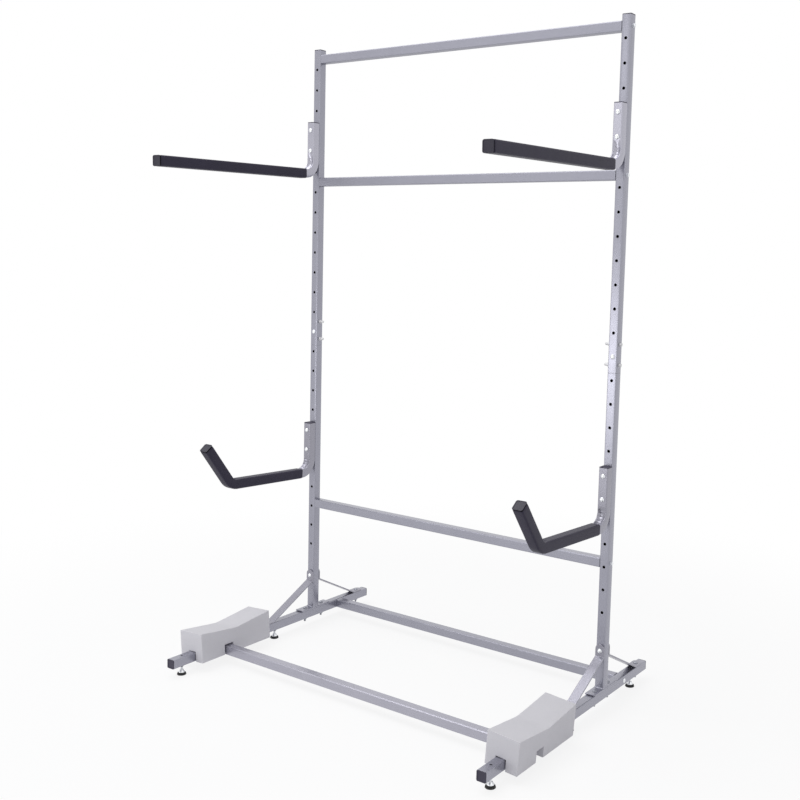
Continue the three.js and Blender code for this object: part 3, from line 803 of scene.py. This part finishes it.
sleeving, tree, surface, place = begun("closed_cell_foam_skinned_charcoal")
surface.inputs["Roughness"].default_value = 0.5
surface.inputs["Specular IOR Level"].default_value = 0.25
surface.inputs["Sheen Weight"].default_value = 0.05
surface.inputs["Sheen Roughness"].default_value = 0.4
drift = add_node(tree, "ShaderNodeTexNoise", {
    "Vector": place, "Scale": 1 / FOAM_DRIFT, "Detail": 4,
})
tone = add_node(tree, "ShaderNodeMix", {
    "Factor": drift.outputs["Fac"], 6: linear(SLEEVE_DARK), 7: linear(SLEEVE_LIGHT),
}, data_type="RGBA")
tree.links.new(tone.outputs[2], surface.inputs["Base Color"])
grain = add_node(tree, "ShaderNodeTexNoise", {
    "Vector": place, "Scale": 1 / SLEEVE_GRAIN, "Detail": 3, "Roughness": 0.6,
})
bump = add_node(tree, "ShaderNodeBump", {
    "Height": grain.outputs["Fac"], "Strength": 0.3, "Distance": 0.2 * MM,
})
tree.links.new(bump.outputs[0], surface.inputs["Normal"])


def sleeve_mesh(hooked, seed):
    """Foam tube over the arm from just past its lower bend to its tip"""
    line, bends = arm_line(hooked)
    first = bends[0][1]
    start, along = line[first]
    hooks = [(a - first, b - first) for a, b in bends[1:]]
    line = [(start + along * SLEEVE_START, along), *line[first + 1:]]
    outer = square_ring(SLEEVE_SIDE, SLEEVE_CORNER, ARC_STEPS, SLEEVE_FLATS)
    inner = square_ring(SLEEVE_BORE, TUBE_CORNER, ARC_STEPS, SLEEVE_FLATS)

    def hugging(ring, i, inset=0.0):
        point, along = line[i]
        shrink = 1 - inset * 2 / SLEEVE_SIDE
        weight = crush(i, hooks, LOWER_TROUGH[1], TROUGH_TRAIL)
        drawn_in = [(x * shrink, y * shrink) for x, y in ring]
        return across_line(drawn_in, point, along, weight, SLEEVE_SAG)

    def moved(ring, offset):
        return [Vector(point) + Vector((0, *offset)) for point in ring]

    last = len(line) - 1
    rings = [
        moved(hugging(outer, 0, inset), line[0][1] * depth) for depth, inset in CUT_END
    ]
    for i in range(SLEEVE_END, last - SLEEVE_END + 1, SLEEVE_STEP):
        rings.append([(
            x + SLEEVE_WAVE * noise.noise(Vector((x, i * STATION, seed)) * SLEEVE_WAVE_PER_MM),
            y, z,
        ) for x, y, z in hugging(outer, i)])
    rings += [
        moved(hugging(outer, last, inset), line[last][1] * -(depth + TIP_GROOVE))
        for depth, inset in reversed(CUT_END)
    ]
    rings.append(moved(hugging(inner, last), line[last][1] * -TIP_GROOVE))
    rings += [
        hugging(inner, i) for i in (*range(last - SLEEVE_END, SLEEVE_END, -SLEEVE_STEP), 0)
    ]
    return loft(rings, closed=True)


for side, sign in SIDES.items():
    for level, (hooked, bolt_height) in ARMS.items():
        made = piece(
            f"{side}_{level}_arm_foam_sleeve", "frame", sleeving,
            sleeve_mesh(hooked, bolt_height + sign), arm_place(sign, bolt_height),
            stands_for=(f"{side}_{level}_arm_sleeve",), sharp=50,
        )


# End caps. Moulded dark polyethylene, pushed into the tube ends: a thin flange with a rounded
# rim, a face sunk a little inside it, and a ribbed plug. Slightly textured, matt. The arms' tips
# have larger, blacker ones, whose skirt grips the tube in the groove next to the sleeve; the skirt
# and the flange's side are coloured near black as painted shade for that groove.
CAP_TEXTURE = 1.1 * MM  # real texture is about 0.3 mm, drawn coarser so that it shows
CAP_CORNER = 3.6
TIP_CAP_CORNER = 6
PLUG_SIDE = 27.15
PLUG_DEPTH = 14
RIBS = 4
RIB_PITCH = 2.8
RIM = 2.9
SUNK = 1.2
SKIRT_IN_SLEEVE = 1
SKIRT_SIDE = TUBE + 0.1
GROOVE_SHADE_BELOW = -1.5  # the rim's top is at zero


def moulded(name, dark, light, smooth, rough, shine=0.35):
    """Textured dark plastic between two tones, with the refraction of polyethylene"""
    material, tree, surface, place = begun(name)
    surface.inputs["IOR"].default_value = 1.51
    surface.inputs["Specular IOR Level"].default_value = shine
    texture = add_node(tree, "ShaderNodeTexNoise", {
        "Vector": place, "Scale": 1 / CAP_TEXTURE, "Detail": 3, "Roughness": 0.7,
    })
    tone = add_node(tree, "ShaderNodeMix", {
        "Factor": texture.outputs["Fac"], 6: linear(dark), 7: linear(light),
    }, data_type="RGBA")
    tree.links.new(tone.outputs[2], surface.inputs["Base Color"])
    gloss = add_node(tree, "ShaderNodeMapRange", {
        "Value": texture.outputs["Fac"], "To Min": smooth, "To Max": rough,
    })
    tree.links.new(gloss.outputs[0], surface.inputs["Roughness"])
    bump = add_node(tree, "ShaderNodeBump", {
        "Height": texture.outputs["Fac"], "Strength": 0.3, "Distance": 0.12 * MM,
    })
    tree.links.new(bump.outputs[0], surface.inputs["Normal"])
    return material


capping = moulded("polyethylene_moulded_charcoal", "#363343", "#413E4F", 0.42, 0.58)
tip_capping = moulded("polyethylene_moulded_black", "#262331", "#302D3C", 0.34, 0.46)
# Near black, matt and hardly glossy: painted shade for the groove between a tip cap and its sleeve.
groove_shade_capping = moulded("polyethylene_painted_groove_shade_black", "#060608", "#0B0B0E", 0.7, 0.85, 0.06)


def cap_mesh(side, corner, skirt=0):
    """Cap facing +Z, with the top of its rim at zero, and a thin skirt that grips the tube"""
    end = -CAP_THICK - PLUG_DEPTH
    rows = [(PLUG_SIDE - 1.5, 1.5, end), (PLUG_SIDE, 1.5, end + 1.5)]
    for i in range(RIBS):
        z = end + 3 + i * RIB_PITCH
        rows += [
            (PLUG_SIDE - 1.6, 1, z), (PLUG_SIDE - 1.6, 1, z + 1.2),
            (PLUG_SIDE, 1.5, z + 1.5), (PLUG_SIDE - 0.6, 1.3, z + 2.6),
        ]
    rows.append((PLUG_SIDE - 0.4, 1.4, -CAP_THICK))
    if skirt:
        rows += [
            (SKIRT_SIDE, TUBE_CORNER, -CAP_THICK), (SKIRT_SIDE, TUBE_CORNER, -CAP_THICK - skirt),
            (SLEEVE_BORE, TUBE_CORNER, -CAP_THICK - skirt), (SLEEVE_BORE, TUBE_CORNER, -CAP_THICK),
        ]
    rows += [
        (side - 0.4, corner, -CAP_THICK),
        (side, corner, -CAP_THICK + 0.3), (side, corner, -1), (side - 0.3, corner, -0.4),
        (side - 1.1, corner, -0.08), (side - 2, corner, 0), (side - 2 * RIM + 1, corner - 1, 0),
        (side - 2 * RIM, corner - 1, -0.25), (side - 2 * RIM - 0.8, corner - 1.3, -SUNK + 0.1),
        (side - 2 * RIM - 2, corner - 1.6, -SUNK),
    ]
    mesh = loft([
        [(x, y, z) for x, y in square_ring(width, radius, arc=5)] for width, radius, z in rows
    ])
    # The skirt and the lower part of the flange take the painted groove shade.
    for face in mesh.faces:
        if skirt and face.calc_center_median().z < GROOVE_SHADE_BELOW * MM:
            face.material_index = 1
    return mesh


for side, sign in SIDES.items():
    x = -sign * post_middle.x
    seat = Vector((x, post_middle.y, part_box(f"{side}_post_cap")[1].z / MM))
    piece(
        f"{side}_post_end_cap", "frame", capping, cap_mesh(TUBE, CAP_CORNER),
        Matrix.Translation(seat * MM), stands_for=(f"{side}_post_cap",),
    )
    for end, turn in (("front", 1), ("rear", -1)):
        node = f"{side}_foot_cap_{end}"
        low, high = (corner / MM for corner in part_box(node))
        seat = Vector((x, low.y if end == "front" else high.y, (low.z + high.z) / 2))
        piece(
            f"{side}_foot_end_cap_{end}", "frame", capping,
            cap_mesh(TUBE, CAP_CORNER),
            Matrix.Translation(seat * MM) @ Matrix.Rotation(turn * math.pi / 2, 4, "X"),
            stands_for=(node,),
        )
    for level, (hooked, bolt_height) in ARMS.items():
        low, high = (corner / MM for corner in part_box(f"{side}_{level}_arm_plug"))
        seat = Vector((x, (low.y + high.y) / 2, high.z))
        piece(
            f"{side}_{level}_arm_leg_cap", "frame", capping,
            cap_mesh(TUBE, CAP_CORNER), Matrix.Translation(seat * MM),
            stands_for=(f"{side}_{level}_arm_plug",),
        )
        corners = arm_corners(hooked)
        out = (corners[-1] - corners[-2]).normalized()
        seat = Vector((x, post_middle.y + corners[-1].x, bolt_height + corners[-1].y))
        made = piece(
            f"{side}_{level}_arm_end_cap", "frame", tip_capping,
            cap_mesh(SLEEVE_SIDE, TIP_CAP_CORNER, skirt=TIP_GROOVE + SKIRT_IN_SLEEVE),
            Matrix.Translation(seat * MM)
            @ Matrix.Rotation(math.atan2(out.y, out.x) - math.pi / 2, 4, "X"),
            stands_for=(f"{side}_{level}_arm_tip_cap",),
        )
        made.data.materials.append(groove_shade_capping)


# Bolts. Zinc-plated steel with rolled threads. Low domed heads hold arms, braces, base channels
# and base crossbars, most with a hexagon nut. Small hexagon heads on washers hold the crossbars
# between the posts and the sides of the splices, where long cap nuts close the inner ends.
ZINC_DRIFT = 7 * MM
HEAD = 16
HEAD_EDGE = 0.7
DOME = 4.4
DOME_STEPS = 8
HEX_HEAD = 11
HEX_HEIGHT = 7
WASHER = 13.5
WASHER_THICK = 1.4
SHANK = 7.9
SHANK_RADIUS = SHANK / 2 - 0.2  # the plain part is thinner than the thread
NUT = 12.7
NUT_THICK = 6.8
NUT_CHAMFER = 0.6
CAP_NUT_BASE = 8
CAP_NUT_DOME = 9.4
CAP_NUT_LENGTH = 20
CAP_NUT_STEPS = 7
CAP_NUT_FLAT = 0.3  # radius of the small flat at the dome's end
THREAD = 1.41
THREAD_DEPTH = 0.5


def plated(name, dark, light, smooth, rough, metallic=1):
    """Zinc plate with a faint clouding in tone and gloss"""
    material, tree, surface, place = begun(name)
    surface.inputs["Metallic"].default_value = metallic
    cloud = add_node(tree, "ShaderNodeTexNoise", {
        "Vector": place, "Scale": 1 / ZINC_DRIFT, "Detail": 4, "Roughness": 0.7,
    })
    tone = add_node(tree, "ShaderNodeMix", {
        "Factor": cloud.outputs["Fac"], 6: linear(dark), 7: linear(light),
    }, data_type="RGBA")
    tree.links.new(tone.outputs[2], surface.inputs["Base Color"])
    gloss = add_node(tree, "ShaderNodeMapRange", {
        "Value": cloud.outputs["Fac"], "To Min": smooth, "To Max": rough,
    })
    tree.links.new(gloss.outputs[0], surface.inputs["Roughness"])
    return material


zinc = plated("zinc_plated_steel_bright", "#DADCE0", "#EEF0F3", 0.18, 0.34)
pale_zinc = plated("zinc_plated_steel_pale_matt", "#D2D2D5", "#E0E0E2", 0.5, 0.6, 0.35)
dull_zinc = plated("zinc_plated_steel_dull", "#92949C", "#A2A4AC", 0.4, 0.55)


def thread_rings(size, low, high):
    """A helical thread as rings whose radius rises and falls with the turn"""
    steps = max(4, round((high - low) / THREAD * 6))
    rings = []
    for k in range(steps + 1):
        z = low + (high - low) * k / steps
        ring = []
        for i in range(ROUND_FACETS):
            phase = (z / THREAD - i / ROUND_FACETS) % 1
            depth = THREAD_DEPTH * abs(2 * phase - 1)
            angle = 2 * math.pi * i / ROUND_FACETS
            radius = size / 2 - depth
            ring.append((radius * math.cos(angle), radius * math.sin(angle), z))
        rings.append(ring)
    return rings


def nut_rings(low, high, across_flats=NUT):
    """A hexagon with the usual chamfers, which limit its radius to a share of its width"""
    rings = []
    facets = ROUND_FACETS * 3
    for z, limit in (
        (low, 0.5), (low + NUT_CHAMFER, 0.575), (high - NUT_CHAMFER, 0.575), (high, 0.5),
    ):
        ring = []
        for i in range(facets):
            angle = 2 * math.pi * i / facets
            side = (angle + math.pi / 6) % (math.pi / 3) - math.pi / 6
            radius = min(across_flats / 2 / math.cos(side), across_flats * limit)
            ring.append((radius * math.cos(angle), radius * math.sin(angle), z))
        rings.append(ring)
    return rings


def dome_head():
    """Low round head"""
    rings = [round_ring(HEAD / 2, 0), round_ring(HEAD / 2, HEAD_EDGE)]
    for i in range(1, DOME_STEPS):
        angle = math.pi / 2 * i / DOME_STEPS
        height = HEAD_EDGE + (DOME - HEAD_EDGE) * math.sin(angle)
        rings.append(round_ring(HEAD / 2 * math.cos(angle), height))
    return loft(rings)


def hex_head():
    """Small hexagon head on a washer"""
    washer = loft([round_ring(WASHER / 2, 0), round_ring(WASHER / 2, WASHER_THICK)])
    return joined([washer, loft(nut_rings(WASHER_THICK, HEX_HEIGHT, HEX_HEAD))])


def cap_nut(low, high):
    """Hexagon base that carries a closed dome"""
    base = high - CAP_NUT_BASE
    dome = CAP_NUT_DOME / 2
    rings = []
    for i in range(CAP_NUT_STEPS):
        angle = math.pi / 2 * i / CAP_NUT_STEPS
        rings.append(round_ring(
            dome * math.sin(angle) + CAP_NUT_FLAT, low + dome * (1 - math.cos(angle)),
        ))
    rings.append(round_ring(dome + CAP_NUT_FLAT, base + 0.5))
    return joined([loft(rings), loft(nut_rings(base, high))])


def bolt_mesh(head, grip, tail, nutted=True):
    """Bolt along Z, its head's seat at zero and its nut at -grip"""
    end = -grip - (NUT_THICK if nutted else 0)
    parts = [head(), loft([round_ring(SHANK_RADIUS, end), round_ring(SHANK_RADIUS, 0)])]
    if not tail:
        return joined(parts)
    if nutted:
        parts.append(loft(nut_rings(end, -grip)))
    tip = [round_ring(SHANK / 2 - 1, end - tail), *thread_rings(SHANK, end - tail + 0.6, end)]
    parts.append(loft(tip))
    return joined(parts)


FACING = {
    "+x": Matrix.Rotation(math.pi / 2, 4, "Y"), "-x": Matrix.Rotation(-math.pi / 2, 4, "Y"),
    "-y": Matrix.Rotation(math.pi / 2, 4, "X"), "+z": Matrix.Identity(4),
}


def bolt(name, seat, facing, grip, tail, stands_for=(), head=dome_head, metal=zinc, **nut):
    """A bolt whose head lies on a seat and faces one way"""
    return piece(
        name, "frame", metal, bolt_mesh(head, grip, tail, **nut),
        Matrix.Translation(Vector(seat) * MM) @ FACING[facing], stands_for=stands_for,
    )


HALF = TUBE / 2
SPLICE_HEIGHTS = (1204.3, 1137.7)  # of the two side bolts, above the floor
SPLICE_FRONT = TOP_HOLE - 13 * HOLE_PITCH
BRACE_BOLT = 198.6
BRACE_THICK = 4.8
BRACE_BOLT_REACH = 260
PLATE_BOLT = 46
FOOT_BOTTOM = 34.7
ARM_TAIL = 4  # how much thread shows past the nut or the tube
SPLICE_TAIL = 6
CROSSBAR_TAIL = 9
BRACE_TAIL = 5
FOOT_TAIL = 8
foot_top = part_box("left_foot_cap_front")[1].z / MM
for side, sign in SIDES.items():
    x = -sign * post_middle.x
    y = post_middle.y
    outward = "+x" if sign > 0 else "-x"
    for level, (_, bolt_height) in ARMS.items():
        for row in (1, 2):
            z = bolt_height - (row - 1) * HOLE_PITCH
            bolt(
                f"{side}_{level}_arm_through_bolt_{row}", (x, y - 2 * TUBE - 2 * ARM_GAP + HALF, z),
                "-y", 2 * TUBE + 3 * ARM_GAP, ARM_TAIL,
                stands_for=(f"{side}_{level}_arm_bolt_{row}",),
            )
    for row, z in enumerate(SPLICE_HEIGHTS, 1):
        bolt(
            f"{side}_splice_side_bolt_{row}", (x + sign * HALF, y, z), outward, TUBE, 0,
            head=hex_head, metal=pale_zinc, nutted=False,
        )
        piece(
            f"{side}_splice_cap_nut_{row}", "frame", pale_zinc,
            cap_nut(-TUBE - CAP_NUT_LENGTH, -TUBE),
            Matrix.Translation(Vector((x + sign * HALF, y, z)) * MM) @ FACING[outward],
        )
    bolt(f"{side}_splice_front_bolt", (x, y - HALF, SPLICE_FRONT), "-y", TUBE, SPLICE_TAIL)
    for bar_name in ("top", "upper", "lower"):
        z = centre_of(f"{bar_name}_crossbar").z / MM
        bolt(
            f"{side}_{bar_name}_crossbar_bolt", (x + sign * HALF, y, z), outward, TUBE,
            CROSSBAR_TAIL, head=hex_head, nutted=False,
        )
    for bar_name in ("base_front", "base_rear"):
        at = centre_of(f"{bar_name}_crossbar") / MM
        bolt(
            f"{side}_{bar_name}_crossbar_bolt", (x + sign * HALF, at.y, at.z), outward, TUBE,
            CROSSBAR_TAIL, nutted=False,
        )
    reach = HALF + ARM_GAP + BRACE_THICK
    bolt(f"{side}_brace_post_bolt", (x, y - reach, BRACE_BOLT), "-y", 2 * reach, BRACE_TAIL)
    for end, along in (("front", -1), ("rear", 1)):
        bolt(
            f"{side}_base_plate_bolt_{end}", (x, y + along * PLATE_BOLT, PLATE_TOP), "+z",
            PLATE_TOP - FOOT_BOTTOM, FOOT_TAIL, metal=dull_zinc,
        )
        bolt(
            f"{side}_brace_foot_bolt_{end}",
            (x, y + along * BRACE_BOLT_REACH, foot_top + ARM_GAP + BRACE_THICK), "+z",
            foot_top + ARM_GAP + BRACE_THICK - FOOT_BOTTOM, FOOT_TAIL, metal=dull_zinc,
        )


# Leveling feet. A dull black rubber foot moulded on a bright steel cup, which swivels on the ball
# end of a threaded stud. The stud screws into a black tapered nut under the foot tube, and so
# lifts or lowers that end of the stand.
RUBBER_DARK = "#141416"
RUBBER_LIGHT = "#1E1E21"
PAD_RADIUS = 15.9
PAD_HEIGHT = 8.5
CUP_TOP = 17.5
STUD = 8
STUD_TOP = 57.7
BALL_RADIUS = 4.6
NUT_BOTTOM = 29.7

rubber, tree, surface, place = begun("rubber_moulded_black")
surface.inputs["Roughness"].default_value = 0.68
texture = add_node(tree, "ShaderNodeTexNoise", {
    "Vector": place, "Scale": 1 / CAP_TEXTURE, "Detail": 3,
})
tone = add_node(tree, "ShaderNodeMix", {
    "Factor": texture.outputs["Fac"], 6: linear(RUBBER_DARK), 7: linear(RUBBER_LIGHT),
}, data_type="RGBA")
tree.links.new(tone.outputs[2], surface.inputs["Base Color"])
bump = add_node(tree, "ShaderNodeBump", {
    "Height": texture.outputs["Fac"], "Strength": 0.35, "Distance": 0.2 * MM,
})
tree.links.new(bump.outputs[0], surface.inputs["Normal"])

PAD_PROFILE = [  # radius and height, as in the next two
    (PAD_RADIUS - 2.5, 0), (PAD_RADIUS - 0.6, 0.15), (PAD_RADIUS, 0.9), (PAD_RADIUS - 0.4, 3),
    (PAD_RADIUS - 1.2, 5.5), (PAD_RADIUS - 2.2, 7.3), (PAD_RADIUS - 3.6, PAD_HEIGHT),
    (PAD_RADIUS - 5.5, PAD_HEIGHT + 0.3), (5.5, PAD_HEIGHT + 0.3),
]
CUP_PROFILE = [
    (5.1, PAD_HEIGHT + 0.4), (11.3, PAD_HEIGHT + 0.4), (11.4, PAD_HEIGHT + 1), (10.9, 10.6),
    (9.8, 12.4), (8.6, 14.2), (7.4, 15.7), (6.5, 16.8), (6.1, CUP_TOP), (5.2, CUP_TOP),
    (5.1, CUP_TOP - 0.5),
]
TAPER_NUT = [
    (4.4, NUT_BOTTOM - 1.2), (5.6, NUT_BOTTOM - 1.2), (6.2, NUT_BOTTOM - 0.7),
    (8.4, FOOT_BOTTOM - 0.9), (8.6, FOOT_BOTTOM - 0.1), (4.4, FOOT_BOTTOM - 0.1),
]
for side in SIDES:
    for spot in ("front", "middle", "rear"):
        pad = f"{side}_{spot}_leveling_pad"
        below = centre_of(pad)
        below.z = 0
        where = Matrix.Translation(below)
        piece(
            f"{side}_{spot}_rubber_foot", f"{side}_{spot}_pad", rubber,
            loft([round_ring(radius, z) for radius, z in PAD_PROFILE]), where, stands_for=(pad,),
        )
        piece(
            f"{side}_{spot}_steel_cup", f"{side}_{spot}_pad", zinc,
            loft([round_ring(radius, z) for radius, z in CUP_PROFILE], closed=True), where,
        )
        stud = [
            round_ring(3, PAD_HEIGHT + 1), round_ring(BALL_RADIUS, PAD_HEIGHT + 2.5),
            round_ring(BALL_RADIUS, CUP_TOP - 1),
            *thread_rings(STUD, CUP_TOP + 0.5, STUD_TOP - 1), round_ring(2.9, STUD_TOP),
        ]
        piece(
            f"{side}_{spot}_threaded_stud", f"{side}_{spot}_stud", zinc, loft(stud), where,
            stands_for=(f"{side}_{spot}_leveling_stud",),
        )
        piece(
            f"{side}_{spot}_taper_nut", "frame", rubber,
            loft([round_ring(radius, z) for radius, z in TAPER_NUT], closed=True), where,
        )
